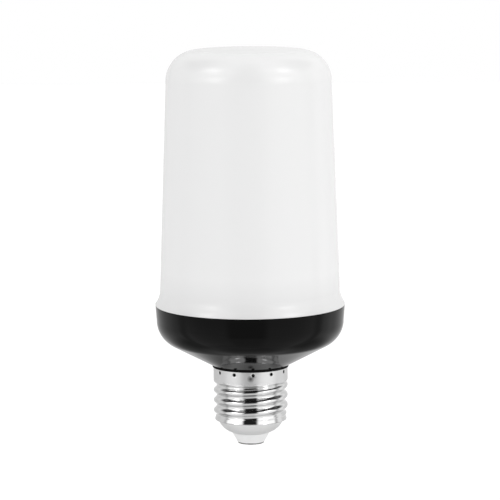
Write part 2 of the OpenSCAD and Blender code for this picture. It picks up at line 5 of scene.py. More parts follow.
import bmesh
import bpy
from bpy.props import FloatProperty, FloatVectorProperty, IntProperty, PointerProperty
from mathutils import Matrix, Vector


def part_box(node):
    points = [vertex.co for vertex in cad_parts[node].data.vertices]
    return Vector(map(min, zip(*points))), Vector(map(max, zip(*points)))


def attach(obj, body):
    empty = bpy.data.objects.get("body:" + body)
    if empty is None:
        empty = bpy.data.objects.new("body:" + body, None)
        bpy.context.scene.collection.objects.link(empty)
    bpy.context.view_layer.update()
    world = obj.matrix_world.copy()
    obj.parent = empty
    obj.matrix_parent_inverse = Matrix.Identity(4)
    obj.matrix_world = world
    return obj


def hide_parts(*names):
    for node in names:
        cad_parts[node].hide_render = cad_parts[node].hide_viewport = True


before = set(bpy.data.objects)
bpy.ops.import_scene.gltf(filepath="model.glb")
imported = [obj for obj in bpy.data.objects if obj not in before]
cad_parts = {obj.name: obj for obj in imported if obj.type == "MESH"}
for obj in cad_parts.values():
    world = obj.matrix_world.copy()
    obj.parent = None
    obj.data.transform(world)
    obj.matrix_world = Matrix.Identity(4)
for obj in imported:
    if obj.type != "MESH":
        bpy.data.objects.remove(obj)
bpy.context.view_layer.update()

bl_info = {
    "name": "Flame Effect LED Bulb",
    "version": (1, 0, 0),
    "blender": (4, 5, 0),
    "location": "View3D > Sidebar > Bulb",
    "description": "Builds the diffuser, housing, screw cap, inner parts and studio of an LED bulb",
    "category": "Object",
}

# A millimetre in metres
MM = 0.001

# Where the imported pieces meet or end; heights are counted from the lower face of the contact
SEAM_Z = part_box("housing")[1].z
COVER_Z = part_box("diffuser_cover")[1].z
SEAM_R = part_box("housing")[1].x
RIM_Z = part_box("screw_shell")[1].z
HOLE_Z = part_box("screw_shell")[0].z
CONTACT_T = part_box("cap_insulator")[0].z
RIVET_TOP_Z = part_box("centre_contact")[1].z
INSULATOR_TOP_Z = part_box("cap_insulator")[1].z
NECK_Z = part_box("housing")[0].z

# Clearance between pieces that fit together
FIT = 0.05 * MM
# Rounding of the screw shell's rim
RIM_ROUND = 0.05 * MM
# Height of each slope of the diffuser's snap bead
BEAD_SLOPE = 0.3 * MM
# Where the three screw bosses stand round the axis
BOSS_TURNS = [math.radians(30 + 120 * k) for k in range(3)]


def linear(hex_colour):
    """Linear RGB and alpha of an sRGB colour that is written as #RRGGBB."""
    channels = [int(hex_colour[i:i + 2], 16) / 255 for i in (1, 3, 5)]
    return [c / 12.92 if c <= 0.04045 else ((c + 0.055) / 1.055) ** 2.4 for c in channels] + [1.0]


def length(name, description, default):
    """A size for a settings group, from a default in metres."""
    return FloatProperty(
        name=name, description=description, default=default, min=0.0, unit="LENGTH", precision=5
    )


def angle(name, description, degrees):
    """An angle for a settings group, from a default in degrees."""
    return FloatProperty(
        name=name, description=description, default=math.radians(degrees), subtype="ANGLE"
    )


def colour(name, description, hex_colour):
    """A colour for a settings group."""
    return FloatVectorProperty(
        name=name, description=description, default=linear(hex_colour), size=4, min=0.0, max=1.0,
        subtype="COLOR",
    )


class DiffuserSettings(bpy.types.PropertyGroup):
    """Sizes and colour of the milky diffuser"""

    wall: length("Wall", "Wall thickness", 1.5 * MM)
    flare_out: length("Flare", "How far the lower edge flares out past the waist", 1.75 * MM)
    flare_r: length("Flare radius", "Radius of the flare in section", 8.9 * MM)
    edge_h: length("Edge height", "Height of the plain edge above the seam", 0.35 * MM)
    edge_round: length("Edge rounding", "Radius of the lower edge", 0.16 * MM)
    shoulder_r: length("Shoulder radius", "Radius of the rounded shoulder", 10.8 * MM)
    skirt_h: length("Skirt", "Length of the skirt inside the housing", 4.6 * MM)
    skirt_r: length("Skirt radius", "Outer radius of the skirt", 30.95 * MM)
    bead_h: length("Bead", "Height of the snap bead on the skirt", 0.45 * MM)
    bead_drop: length("Bead drop", "Distance of the snap bead below the seam", 3.2 * MM)
    draft: angle("Draft", "Slope of the side from the vertical", 2.08)
    tint: colour("Tint", "Colour of the opal plastic", "#F6F6F6")


class HousingSettings(bpy.types.PropertyGroup):
    """Sizes and colour of the black housing"""

    wall: length("Wall", "Wall thickness", 2 * MM)
    side_draft: length("Side draft", "Radius lost by the side below the seam", 0.4 * MM)
    side_h: length("Side height", "Height of the straight side below the seam", 5.45 * MM)
    corner_r: length("Corner radius", "Radius of the rounded corner", 9.5 * MM)
    cone_angle: angle("Cone angle", "Slope of the underside", 27.9)
    lip_w: length("Lip width", "Width of the lip over the screw shell", 0.35 * MM)
    lip_h: length("Lip height", "Height of the lip over the screw shell", 0.72 * MM)
    neck_bore_r: length("Neck bore", "Radius of the bore through the neck", 9.9 * MM)
    neck_low_r: length("Neck radius", "Radius of the neck inside the thread", 11.5 * MM)
    neck_step_z: length("Neck step", "Height of the step to the wide part of the neck", 23.6 * MM)
    chimney_h: length("Inner collar", "Height of the inner collar above the lip", 8.7 * MM)
    chimney_wall: length("Inner collar wall", "Wall of the inner collar", 2 * MM)
    boss_r: length("Boss radius", "Radius of a screw boss", 2.9 * MM)
    boss_ring_r: length("Boss circle", "Radius of the circle of screw bosses", 24.2 * MM)
    boss_hole_r: length("Boss hole", "Radius of a pilot hole", 1.3 * MM)
    tint: colour("Tint", "Colour of the black plastic", "#0C0C0C")


class CapSettings(bpy.types.PropertyGroup):
    """Sizes and colours of the screw cap"""

    wall: length("Sheet", "Thickness of the rolled sheet", 0.3 * MM)
    hole_r: length("Hole radius", "Radius of the hole that the insulator fills", 6.75 * MM)
    dome_r: length("Dome radius", "Radius at the wide end of the domed end", 11.6 * MM)
    dome_h: length("Dome height", "Height of the domed end", 4.55 * MM)
    dome_bulge: length("Dome bulge", "How far the domed end bulges past a cone", 0.84 * MM)
    band_r: length("Band radius", "Radius of the plain band under the thread", 12.6 * MM)
    band_h: length("Band height", "Height of the plain band", 1.3 * MM)
    band_flare: length("Band flare", "Radius gained at the band's lower edge, lost at its upper", 0.2 * MM)
    thread_h: length("Thread height", "Height of the threaded zone", 13.1 * MM)
    pitch: length("Pitch", "Pitch of the round thread", 3.629 * MM)
    crest_r: length("Crest radius", "Radius over the crests", 13.15 * MM)
    root_r: length("Root radius", "Radius in the roots", 12.05 * MM)
    flank: angle("Flank", "Slope from the axis of the straight flank between crest and root", 45)
    run_out: length("Run-out", "Height over which the thread runs out", 1.3 * MM)
    phase: length("Thread phase", "Height of a crest on the +X side above the band", 7.5 * MM)
    collar_r: length("Collar radius", "Radius of the plain collar", 13.15 * MM)
    punches: IntProperty(name="Punches", description="Number of staking punches", default=12, min=4)
    punch_turn: angle("Punch turn", "Angle of the first punch from the front", 3.9)
    punch_depth: length("Punch depth", "Depth of a staking punch", 0.4 * MM)
    punch_w: length("Punch width", "Width of a staking punch", 1.7 * MM)
    punch_drop: length("Punch drop", "Distance of the punches below the rim", 1.1 * MM)
    # The patch that this places is painted shade of a slight dent under the central punch
    dent_shade_drop: length("Stain", "Distance of the stain on the collar's front below the rim", 2.3 * MM)
    contact_r: length("Contact radius", "Radius of the contact disc", 4.7 * MM)
    rivet_r: length("Rivet radius", "Radius of the contact's riveted shank", 1.2 * MM)
    nickel: colour("Nickel", "Colour of the nickel plate", "#D4D4D4")
    satin: colour("Satin nickel", "Colour of the unpolished nickel on the domed end", "#E3E3E3")


class StageSettings(bpy.types.PropertyGroup):
    """Camera and studio"""

    camera_offset: length("Camera offset", "Distance of the camera to the right of the axis", 0.07 * MM)
    camera_distance: length("Camera distance", "Distance of the camera in front of the axis", 940.5 * MM)
    camera_height: length("Camera height", "Height of the camera above the contact", 202.65 * MM)
    tilt: angle("Camera tilt", "How far the camera looks down", 8.08)
    roll: angle("Camera roll", "Roll of the camera", -0.371)
    lens: FloatProperty(name="Lens", description="Focal length", default=193.9, unit="CAMERA")
    sensor: FloatProperty(name="Sensor", description="Width of the sensor", default=36.0, unit="CAMERA")
    floor_drop: length("Floor drop", "Distance of the floor below the contact", 350 * MM)
    floor_size: length("Floor size", "Half the width of the floor", 6.0)
    floor: colour("Floor", "Colour of the floor", "#F4F4F4")
    floor_lift: FloatProperty(name="Floor lift", description="Light added to the floor's look", default=0.2)
    left_level: FloatProperty(name="Left level", description="Studio light from the left", default=0.84)
    right_level: FloatProperty(name="Right level", description="Studio light from the right", default=1.09)


# Shapes


def arc(centre, radius, start, end, steps):
    """Points along an arc in a section, as radius and height, from angle start to end in radians."""
    turns = [start + (end - start) * i / steps for i in range(steps + 1)]
    return [(centre[0] + radius * math.cos(t), centre[1] + radius * math.sin(t)) for t in turns]


def rounded(corner, before, after, radius, steps=4):
    """Points that round a corner of a section between the points before and after it."""
    c, a, b = Vector(corner), Vector(before), Vector(after)
    to_a, to_b = (a - c).normalized(), (b - c).normalized()
    half = to_a.angle(to_b) / 2
    reach = radius / math.tan(half)
    middle = c + (to_a + to_b).normalized() * radius / math.sin(half)
    first, last = c + to_a * reach - middle, c + to_b * reach - middle
    turn = first.angle_signed(last)
    return [tuple(middle + Matrix.Rotation(-turn * i / steps, 2) @ first) for i in range(steps + 1)]


def ramp(x, low, high):
    """0 up to low, 1 from high, and a smooth ramp between them."""
    t = min(1.0, max(0.0, (x - low) / (high - low)))
    return t * t * (3 - 2 * t)


def levels(start, end, step):
    """Heights from start to end, evenly spaced by about step, without end."""
    count = max(1, round(abs(end - start) / step))
    return [start + (end - start) * i / count for i in range(count)]


def spun(section, columns, closed=True):
    """A mesh that is a section of radius and height points, spun once round the Z axis."""
    mesh = bmesh.new()
    points = [mesh.verts.new((r, 0, z)) for r, z in section]
    edges = [mesh.edges.new(pair) for pair in zip(points, points[1:])]
    if closed:
        edges.append(mesh.edges.new((points[-1], points[0])))
    bmesh.ops.spin(
        mesh, geom=points + edges, cent=(0, 0, 0), axis=(0, 0, 1), dvec=(0, 0, 0), angle=2 * math.pi,
        steps=columns, use_merge=True, use_duplicate=False,
    )
    bmesh.ops.remove_doubles(mesh, verts=mesh.verts, dist=0.0004 * MM)
    bmesh.ops.recalc_face_normals(mesh, faces=mesh.faces)
    return mesh


def shade(mesh, sharp_angle=math.radians(32)):
    """Smooth shading that keeps the edges over sharp_angle crisp."""
    for face in mesh.faces:
        face.smooth = True
    for edge in mesh.edges:
        edge.smooth = len(edge.link_faces) == 2 and edge.calc_face_angle() < sharp_angle


def piece(name, mesh, materials, node):
    """An object on the root body that stands for a CAD node, which it hides, with the given materials."""
    shade(mesh)
    data = bpy.data.meshes.new(name)
    mesh.to_mesh(data)
    mesh.free()
    for material in materials:
        data.materials.append(material)
    made = bpy.data.objects.new(name, data)
    bpy.context.scene.collection.objects.link(made)
    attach(made, "root")
    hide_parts(node)
    return made


# Materials. In a Mix node, inputs 2 and 3 are the two values, and 6 and 7 the two colours


def add(tree, kind, inputs=None, **settings):
    """Add a node: settings are its own properties, inputs gives a socket its value or feeding output."""
    node = tree.nodes.new(kind)
    for key, value in settings.items():
        setattr(node, key, value)
    for key, value in (inputs or {}).items():
        if isinstance(value, bpy.types.NodeSocket):
            tree.links.new(value, node.inputs[key])
        else:
            node.inputs[key].default_value = value
    return node


def new_material(name, **sockets):
    """A material with one Principled shader whose named sockets get their values."""
    material = bpy.data.materials.new(name)
    material.use_nodes = True
    shader = material.node_tree.nodes["Principled BSDF"]
    for key, value in sockets.items():
        shader.inputs[key.replace("_", " ")].default_value = value
    return material, material.node_tree, shader


def shades(rgba, spread):
    """A darker and a lighter neighbour of a colour."""
    return [[min(1.0, c * k) for c in rgba[:3]] + [1.0] for k in (1 - spread, 1 + spread)]


def opal_polycarbonate(tint):
    """Moulded opal polycarbonate: cloudy in the mass, with a soft gloss and a faint moulding texture."""
    material, tree, shader = new_material(
        "opal_polycarbonate", IOR=1.5, Subsurface_Weight=0.12, Subsurface_Scale=2 * MM,
        Subsurface_Radius=(1, 1, 1),
    )
    place = add(tree, "ShaderNodeTexCoord").outputs["Object"]
    # Clouds of pigment, 25 mm across, that shift the white by less than one per cent
    cloud = add(tree, "ShaderNodeTexNoise", {"Vector": place, "Scale": 1 / (25 * MM), "Detail": 2.0})
    low, high = shades(tint, 0.006)
    mix = add(tree, "ShaderNodeMix", {"Factor": cloud.outputs["Fac"], 6: low, 7: high}, data_type="RGBA")
    # Darker towards the seam: the plastic is a little greyer over its lowest 13 mm
    height = add(tree, "ShaderNodeSeparateXYZ", {0: place}).outputs["Z"]
    towards_seam = add(
        tree, "ShaderNodeMapRange",
        {"Value": height, "From Min": SEAM_Z, "From Max": SEAM_Z + 13 * MM, "To Min": 1.0, "To Max": 0.0},
    )
    grey = add(
        tree, "ShaderNodeMix",
        {"Factor": towards_seam.outputs["Result"], 6: mix.outputs[2], 7: linear("#EAEAEA")}, data_type="RGBA",
    )
    tree.links.new(grey.outputs[2], shader.inputs["Base Color"])
    # Moulding texture, 0.5 mm grain, drawn much coarser than the real one so that it shows in a close view
    grain = add(tree, "ShaderNodeTexNoise", {"Vector": place, "Scale": 1 / (0.5 * MM), "Detail": 3.0})
    bump = add(
        tree, "ShaderNodeBump", {"Height": grain.outputs["Fac"], "Strength": 0.05, "Distance": 0.02 * MM}
    )
    tree.links.new(bump.outputs["Normal"], shader.inputs["Normal"])
    gloss = add(
        tree, "ShaderNodeMapRange",
        {"Value": cloud.outputs["Fac"], "From Min": 0.3, "From Max": 0.7, "To Min": 0.19, "To Max": 0.23},
    )
    tree.links.new(gloss.outputs["Result"], shader.inputs["Roughness"])
    return material


def polished_black_polycarbonate(tint):
    """Black polycarbonate from a polished mould: deep black, mirror-like at a low angle."""
    # The tint holds back the reflections that are seen square on, and leaves those at a low angle
    material, tree, shader = new_material(
        "polished_black_polycarbonate", Base_Color=tint, IOR=1.3, Specular_Tint=(0.35, 0.35, 0.35, 1)
    )
    place = add(tree, "ShaderNodeTexCoord").outputs["Object"]
    # Flow marks of the moulding, 12 mm across, that shift the gloss a little
    flow = add(tree, "ShaderNodeTexNoise", {"Vector": place, "Scale": 1 / (12 * MM), "Detail": 3.0})
    gloss = add(
        tree, "ShaderNodeMapRange",
        {"Value": flow.outputs["Fac"], "From Min": 0.3, "From Max": 0.7, "To Min": 0.03, "To Max": 0.06},
    )
    tree.links.new(gloss.outputs["Result"], shader.inputs["Roughness"])
    # Slight waviness of the skin, 6 mm from crest to crest
    wave = add(tree, "ShaderNodeTexNoise", {"Vector": place, "Scale": 1 / (6 * MM), "Detail": 1.0})
    bump = add(
        tree, "ShaderNodeBump", {"Height": wave.outputs["Fac"], "Strength": 0.1, "Distance": 0.01 * MM}
    )
    tree.links.new(bump.outputs["Normal"], shader.inputs["Normal"])
    return material


def rolled_nickel_plate(tint, cap):
    """Bright nickel on rolled sheet: the thread is polished by its rolling, the rest keeps its satin."""
    material, tree, shader = new_material("rolled_nickel_plate", Metallic=1.0)
    place = add(tree, "ShaderNodeTexCoord").outputs["Object"]
    parts = add(tree, "ShaderNodeSeparateXYZ", {0: place})
    height = parts.outputs["Z"]
    # Polished from the band up to the top of the thread, satin on the domed end and the collar
    low = add(
        tree, "ShaderNodeMapRange",
        {"Value": height, "From Min": band_low_z(cap) - 0.1 * MM, "From Max": band_low_z(cap) + 0.1 * MM,
         "To Min": 1.0, "To Max": 0.0},
    )
    blur = add(tree, "ShaderNodeMath", {0: low.outputs["Result"], 1: 0.6}, operation="MULTIPLY")
    high = add(
        tree, "ShaderNodeMapRange",
        {"Value": height, "From Min": collar_low_z(cap) - 0.3 * MM,
         "From Max": collar_low_z(cap) + 0.5 * MM, "To Min": 0.0, "To Max": 0.3},
    )
    satin = add(
        tree, "ShaderNodeMath", {0: blur.outputs[0], 1: high.outputs["Result"]}, operation="ADD"
    )
    # Handling and plating marks, 1.5 mm across
    mark = add(tree, "ShaderNodeTexNoise", {"Vector": place, "Scale": 1 / (1.5 * MM), "Detail": 4.0})
    wear = add(
        tree, "ShaderNodeMapRange",
        {"Value": mark.outputs["Fac"], "From Min": 0.3, "From Max": 0.7, "To Min": 0.04, "To Max": 0.1},
    )
    rough = add(tree, "ShaderNodeMath", {0: satin.outputs[0], 1: wear.outputs["Result"]}, operation="ADD")
    tree.links.new(rough.outputs[0], shader.inputs["Roughness"])
    # Painted shade in the punches: where they lie deeper than the collar's outer face, they are painted
    # near black
    flat = add(tree, "ShaderNodeCombineXYZ", {"X": parts.outputs["X"], "Y": parts.outputs["Y"]})
    radius = add(tree, "ShaderNodeVectorMath", {0: flat.outputs[0]}, operation="LENGTH")
    sunk = add(
        tree, "ShaderNodeMapRange",
        {"Value": radius.outputs["Value"], "From Min": cap.collar_r - 0.5 * cap.punch_depth,
         "From Max": cap.collar_r - 0.15 * cap.punch_depth, "To Min": 1.0, "To Max": 0.0},
    )
    in_collar = add(
        tree, "ShaderNodeMath", {0: height, 1: RIM_Z - 2 * cap.punch_drop}, operation="GREATER_THAN"
    )
    pit_shade = add(
        tree, "ShaderNodeMath", {0: sunk.outputs["Result"], 1: in_collar.outputs[0]}, operation="MULTIPLY"
    )
    dark, light = shades(tint, 0.02)
    tone = add(tree, "ShaderNodeMix", {"Factor": mark.outputs["Fac"], 6: dark, 7: light}, data_type="RGBA")
    plate = add(
        tree, "ShaderNodeMix", {"Factor": low.outputs["Result"], 6: tone.outputs[2], 7: list(cap.satin)},
        data_type="RGBA",
    )
    # The near black of the punches is painted shade
    mix = add(
        tree, "ShaderNodeMix", {"Factor": pit_shade.outputs[0], 6: plate.outputs[2], 7: linear("#141414")},
        data_type="RGBA",
    )
    # Painted shade of a slight dent under the central punch: a grey patch on the front of the collar, 1.4
    # mm in radius
    away = add(
        tree, "ShaderNodeVectorMath", {0: place, 1: (0, -cap.collar_r, RIM_Z - cap.dent_shade_drop)},
        operation="DISTANCE",
    )
    dent_shade = add(
        tree, "ShaderNodeMapRange",
        {"Value": away.outputs["Value"], "From Min": 0.2 * MM, "From Max": 1.4 * MM,
         "To Min": 0.85, "To Max": 0.0},
    )
    dent_shaded = add(
        tree, "ShaderNodeMix", {"Factor": dent_shade.outputs["Result"], 6: mix.outputs[2], 7: linear("#3A3A3A")},
        data_type="RGBA",
    )
    tree.links.new(dent_shaded.outputs[2], shader.inputs["Base Color"])
    # Rolling chatter: fine rings round the sheet. At a scale of 1 a wave is 2 pi / 20 long
    ring = 0.25 * MM
    rings = add(
        tree, "ShaderNodeTexWave",
        {"Vector": place, "Scale": 2 * math.pi / (20 * ring), "Distortion": 2.0, "Detail": 1.0},
        wave_type="BANDS", bands_direction="Z",
    )
    bump = add(
        tree, "ShaderNodeBump", {"Height": rings.outputs["Fac"], "Strength": 0.03, "Distance": 0.004 * MM}
    )
    tree.links.new(bump.outputs["Normal"], shader.inputs["Normal"])
    return material


def fine_finish(name, hex_colour, grain_mm, spread=0.05, bump_mm=0.01, **sockets):
    """A material whose colour and surface vary a little over a grain of a real size."""
    material, tree, shader = new_material(name, **sockets)
    place = add(tree, "ShaderNodeTexCoord").outputs["Object"]
    grain = add(tree, "ShaderNodeTexNoise", {"Vector": place, "Scale": 1 / (grain_mm * MM), "Detail": 3.0})
    low, high = shades(linear(hex_colour), spread)
    mix = add(tree, "ShaderNodeMix", {"Factor": grain.outputs["Fac"], 6: low, 7: high}, data_type="RGBA")
    tree.links.new(mix.outputs[2], shader.inputs["Base Color"])
    bump = add(
        tree, "ShaderNodeBump", {"Height": grain.outputs["Fac"], "Strength": 0.2, "Distance": bump_mm * MM}
    )
    tree.links.new(bump.outputs["Normal"], shader.inputs["Normal"])
    return material


# Screw cap


def band_low_z(cap):
    """Height of the edge between the domed end and the band."""
    return HOLE_Z + cap.dome_h


def band_top_z(cap):
    """Height of the lower end of the thread."""
    return band_low_z(cap) + cap.band_h


def collar_low_z(cap):
    """Height of the upper end of the thread."""
    return band_top_z(cap) + cap.thread_h


def thread_radius(cap, height):
    """Radius of the round thread at a height above a crest: equal arcs run into a straight flank."""
    half, quarter = (cap.crest_r - cap.root_r) / 2, cap.pitch / 4
    rise, run = math.sin(cap.flank), math.cos(cap.flank)
    arc_r = (quarter * rise - half * run) / (1 - run)
    off = abs(height - cap.pitch * round(height / cap.pitch))
    near = min(off, 2 * quarter - off)
    if near < arc_r * rise:
        drop = arc_r - math.sqrt(arc_r ** 2 - near ** 2)
    else:
        drop = half - (quarter - near) * math.tan(cap.flank)
    return cap.crest_r - drop if off < quarter else cap.root_r + drop


def band_wall(cap, z):
    """Outer radius of the band, which widens downwards, at a height."""
    return cap.band_r + cap.band_flare * (1 - 2 * (z - band_low_z(cap)) / cap.band_h)


def thread_wall(cap, z, turn):
    """Outer radius of the threaded zone at a height and an angle, with its run-outs."""
    low, high = band_top_z(cap), collar_low_z(cap)
    r = thread_radius(cap, z - low - cap.phase - cap.pitch * turn / (2 * math.pi))
    up = ramp(z, high - cap.run_out, high)
    r = r * (1 - up) + cap.collar_r * up
    # A crest fades into the band over the whole run-out, and a root over its lower part
    over = r - band_wall(cap, z)
    return r - over * (1 - ramp(z, low, low + (cap.run_out if over > 0 else 0.6 * cap.run_out)))


def dome_arc(cap, inset, steps):
    """The domed end in section from its wide end to the hole, moved inwards by inset."""
    wide, hole = Vector((cap.dome_r, band_low_z(cap))), Vector((cap.hole_r, HOLE_Z))
    chord = (wide - hole).length
    radius = (chord ** 2 / 4 + cap.dome_bulge ** 2) / (2 * cap.dome_bulge)
    out = Vector((wide.y - hole.y, hole.x - wide.x)) / chord
    centre = (wide + hole) / 2 - out * (radius - cap.dome_bulge)
    first, last = (math.atan2(p.y - centre.y, p.x - centre.x) for p in (wide, hole))
    return arc(centre, radius - inset, first, last, steps)


def shell_section(cap, inset, step):
    """The sheet's outer face from the rim down, moved inwards by inset and still without its thread."""
    low, top = band_low_z(cap), band_top_z(cap)
    side = cap.collar_r - inset
    # The punches need finer rows than the thread
    punch_low = RIM_Z - 2 * cap.punch_drop
    rim = [(side, z) for z in levels(RIM_Z - RIM_ROUND, punch_low, 0.8 * step)]
    plain = [(side, z) for z in levels(punch_low, top, step) + [top]]
    # The fold between the band and the domed end lies slightly higher on the inside of the sheet
    fold_z, fold_round = low + inset / 6, 0.25 * MM
    wide, narrow = (band_wall(cap, low) - inset, fold_z), (band_wall(cap, top) - inset, top)
    fold = rounded(wide, narrow, (cap.dome_r - inset, fold_z), fold_round)
    # Rows near both ends of the band keep its shading straight
    band = [tuple(Vector(narrow).lerp(Vector(fold[0]), t)) for t in (0.15, 0.5, 0.9)]
    # The domed end bends gently, so its rows lie about three times as far apart
    return rim + plain + band + fold + dome_arc(cap, inset, round(2 * MM / step))


class BULB_OT_screw_shell(bpy.types.Operator):
    """Roll the nickel-plated screw shell with its thread, staking punches and domed end"""

    bl_idname = "bulb.screw_shell"
    bl_label = "Screw Shell"

    def execute(self, context):
        cap = context.scene.bulb_cap
        # The outside is seen close up, so its rows of vertices are finer than those of the inside
        outer, inner = shell_section(cap, 0.0, 0.18 * MM), shell_section(cap, cap.wall, 0.36 * MM)
        rim = [(cap.collar_r - cap.wall + RIM_ROUND, RIM_Z), (cap.collar_r - RIM_ROUND, RIM_Z)]
        mesh = spun(outer + inner[::-1] + rim, 360)
        # The hair takes up the rounding of heights in the mesh
        low, high, hair = band_top_z(cap), collar_low_z(cap), 0.0001 * MM
        for vert in mesh.verts:
            x, y, z = vert.co
            r, turn = math.hypot(x, y), math.atan2(y, x)
            inset = 0.0 if r > cap.collar_r - cap.wall / 2 else cap.wall
            if low - hair <= z <= high + hair and r > cap.collar_r - 1.5 * cap.wall:
                r = thread_wall(cap, z, turn) - inset
            elif z > high:
                r -= self.punch(cap, z, turn)
            vert.co = (r * math.cos(turn), r * math.sin(turn), z)
        bmesh.ops.recalc_face_normals(mesh, faces=mesh.faces)
        nickel = rolled_nickel_plate(list(cap.nickel), cap)
        piece("rolled_screw_shell", mesh, [nickel], "screw_shell")
        return {"FINISHED"}

    def punch(self, cap, z, turn):
        """How deep the nearest staking punch dents the collar at a height and an angle."""
        pitch = 2 * math.pi / cap.punches
        off = (turn + math.pi / 2 - cap.punch_turn + pitch / 2) % pitch - pitch / 2
        away = math.hypot(off * cap.collar_r, z - (RIM_Z - cap.punch_drop)) / (cap.punch_w / 2)
        return cap.punch_depth * (1 - ramp(away, 0.25, 1.0))


class BULB_OT_cap_end(bpy.types.Operator):
    """Mould the white insulator and stamp the centre contact"""

    bl_idname = "bulb.cap_end"
    bl_label = "Insulator and Contact"

    def execute(self, context):
        cap = context.scene.bulb_cap
        margin, flange_w, foot_round, shoulder_round = 0.15 * MM, 1.6 * MM, 0.35 * MM, 0.08 * MM
        neck_r = cap.hole_r - cap.wall / 2 - FIT
        flange_r = cap.hole_r + flange_w
        # The flange lies just over the inside of the domed end, which is looked up to 0.1 mm of radius
        inside = dict((round(r, 4), z) for r, z in dome_arc(cap, cap.wall, 40))
        over = min(inside.items(), key=lambda point: abs(point[0] - flange_r))[1] + 2 * FIT
        foot = (cap.contact_r + margin, CONTACT_T)
        shoulder = (cap.hole_r, HOLE_Z - FIT)
        section = [(cap.rivet_r + FIT, CONTACT_T)]
        section += rounded(foot, section[0], shoulder, foot_round, 6)
        section += rounded(shoulder, foot, (neck_r, HOLE_Z - FIT), shoulder_round, 3)
        section += [
            (neck_r, HOLE_Z - FIT), (neck_r, HOLE_Z + cap.wall + 2 * FIT), (flange_r, over),
            (flange_r, INSULATOR_TOP_Z), (cap.rivet_r + FIT, INSULATOR_TOP_Z),
        ]
        # Glass-filled moulded PBT: opaque white, smooth, with a low sheen
        white = fine_finish(
            "moulded_white_pbt", "#F0F0F0", 0.6, spread=0.01, bump_mm=0.01, Roughness=0.4, IOR=1.5
        )
        piece("cap_insulator_plug", spun(section, 128), [white], "cap_insulator")
        self.contact(cap)
        return {"FINISHED"}

    def contact(self, cap):
        """The disc with a rolled edge, and its shank riveted over the insulator."""
        low_edge, high_edge, head_w = 0.22 * MM, 0.08 * MM, 0.6 * MM
        # A shallow dish in the middle of the lower face, from the riveting
        dish, dish_r, dish_rim_r = 0.05 * MM, 1.6 * MM, 1.9 * MM
        section = [(0, dish), (dish_r, dish), (dish_rim_r, 0)]
        section += rounded((cap.contact_r, 0), (0, 0), (cap.contact_r, CONTACT_T), low_edge, 6)
        section += rounded((cap.contact_r, CONTACT_T), (cap.contact_r, 0), (0, CONTACT_T), high_edge, 3)
        section += [
            (cap.rivet_r, CONTACT_T), (cap.rivet_r, INSULATOR_TOP_Z),
            (cap.rivet_r + head_w, INSULATOR_TOP_Z), (cap.rivet_r + head_w / 2, RIVET_TOP_Z),
            (0, RIVET_TOP_Z),
        ]
        # Stamped brass disc, nickel plated: a darker grey than bright nickel, slightly scuffed where the
        # holder rubs it
        plate = fine_finish(
            "stamped_contact_plate", "#8E8E8E", 0.4, spread=0.08, bump_mm=0.005, Metallic=1.0,
            Roughness=0.14,
        )
        disc = spun(section, 96, closed=False)
        piece("stamped_contact", disc, [plate], "centre_contact")


# Diffuser and housing


class BULB_OT_diffuser(bpy.types.Operator):
    """Mould the milky diffuser with its flared edge and its skirt"""

    bl_idname = "bulb.diffuser"
    bl_label = "Diffuser"

    def execute(self, context):
        s = context.scene.bulb_diffuser
        waist_r = SEAM_R - s.flare_out
        flare_turn = math.acos(1 - s.flare_out / s.flare_r)
        waist_z = SEAM_Z + s.edge_h + s.flare_r * math.sin(flare_turn)
        shoulder_z = COVER_Z - s.shoulder_r
        shoulder = (
            waist_r - (shoulder_z - waist_z) * math.tan(s.draft) - s.shoulder_r / math.cos(s.draft),
            shoulder_z,
        )
        in_r, skirt_in_r = waist_r - s.wall, s.skirt_r - s.wall
        bead_z = SEAM_Z - s.bead_drop
        flare = arc((waist_r + s.flare_r, waist_z), s.flare_r, math.pi + flare_turn, math.pi, 28)
        corner = (SEAM_R, SEAM_Z)
        top = arc(shoulder, s.shoulder_r, s.draft, math.pi / 2, 48)
        side = [flare[-1], top[0]]
        rise = [tuple(Vector(side[0]).lerp(Vector(side[1]), i / 12)) for i in range(1, 12)]
        flat_top = [(shoulder[0] * k, COVER_Z) for k in (0.75, 0.5, 0.25, 0.0)]
        outer = rounded(corner, (s.skirt_r, SEAM_Z), flare[0], s.edge_round, 4)
        outer += flare + rise + top + flat_top
        ceiling = COVER_Z - s.wall
        inner = [(0.0, ceiling), (shoulder[0] * 0.5, ceiling)]
        inner += arc(shoulder, s.shoulder_r - s.wall, math.pi / 2, s.draft, 24)
        # The wall steps in to the skirt just above the seam
        inner += [(in_r, waist_z), (in_r, SEAM_Z + s.wall + MM), (skirt_in_r, SEAM_Z + MM)]
        skirt = [
            (skirt_in_r, SEAM_Z - s.skirt_h), (s.skirt_r, SEAM_Z - s.skirt_h),
            (s.skirt_r, bead_z - 2 * BEAD_SLOPE), (s.skirt_r + s.bead_h, bead_z - BEAD_SLOPE),
            (s.skirt_r + s.bead_h, bead_z + BEAD_SLOPE), (s.skirt_r, bead_z + 2 * BEAD_SLOPE),
            (s.skirt_r, SEAM_Z),
        ]
        mesh = spun(outer + inner + skirt, 192)
        opal = opal_polycarbonate(list(s.tint))
        piece("milky_diffuser", mesh, [opal], "diffuser_cover")
        return {"FINISHED"}


